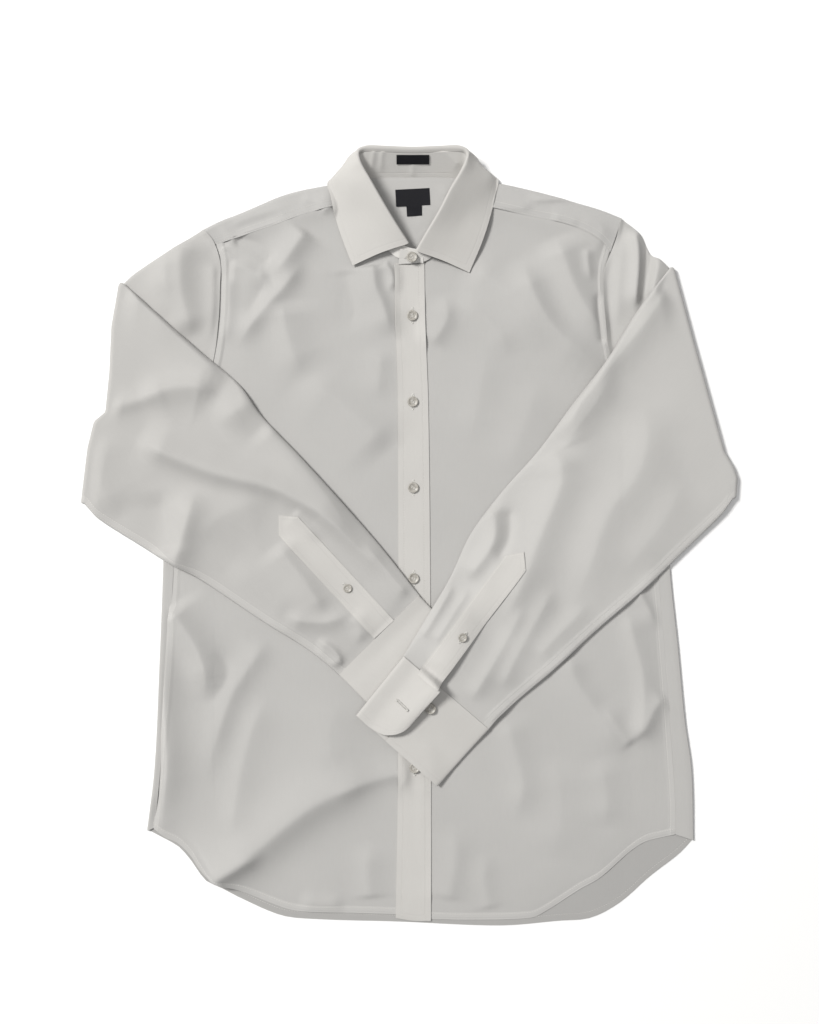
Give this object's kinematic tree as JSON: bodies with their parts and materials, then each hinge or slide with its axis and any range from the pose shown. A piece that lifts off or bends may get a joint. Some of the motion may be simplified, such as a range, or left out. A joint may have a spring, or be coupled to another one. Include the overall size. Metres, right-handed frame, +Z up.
{
  "type": "long sleeve dress shirt",
  "caption": "Long sleeve dress shirt with spread collar, front placket, yoke, buttoned cuffs and curved tail, laid flat on its back with both sleeves folded in across the front.",
  "frame": {"origin": "middle of the shirt as it lies, on the surface that it lies on", "axes": "+X towards the wearer's left, +Y from the hem to the collar, +Z up from the surface"},
  "size_m": [0.683, 0.8129, 0.0287],
  "materials": {
    "shirting": "fine plain cotton shirting, off-white",
    "fused_shirting": "the same shirting over a fused interlining, off-white",
    "woven_label": "woven satin label, black, left bare",
    "button": "pearl-like resin"
  },
  "bodies": {
    "root": {"back": "shirting", "yoke": "shirting", "front_right": "shirting", "front_left": "shirting", "sleeve_right": "shirting", "sleeve_left": "shirting", "placket": "fused_shirting", "collar_stand": "fused_shirting", "collar_leaf": "fused_shirting", "cuff_right": "fused_shirting", "cuff_left": "fused_shirting", "gauntlet_right": "fused_shirting", "gauntlet_left": "fused_shirting", "label_main": "woven_label", "label_size": "woven_label", "label_fit": "woven_label", "button_collar": "button", "button_front_1": "button", "button_front_2": "button", "button_front_3": "button", "button_front_4": "button", "button_front_5": "button", "button_front_6": "button", "button_gauntlet_right": "button", "button_gauntlet_left": "button", "button_cuff_right": "button", "button_cuff_left": "button"}
  },
  "joints": []
}
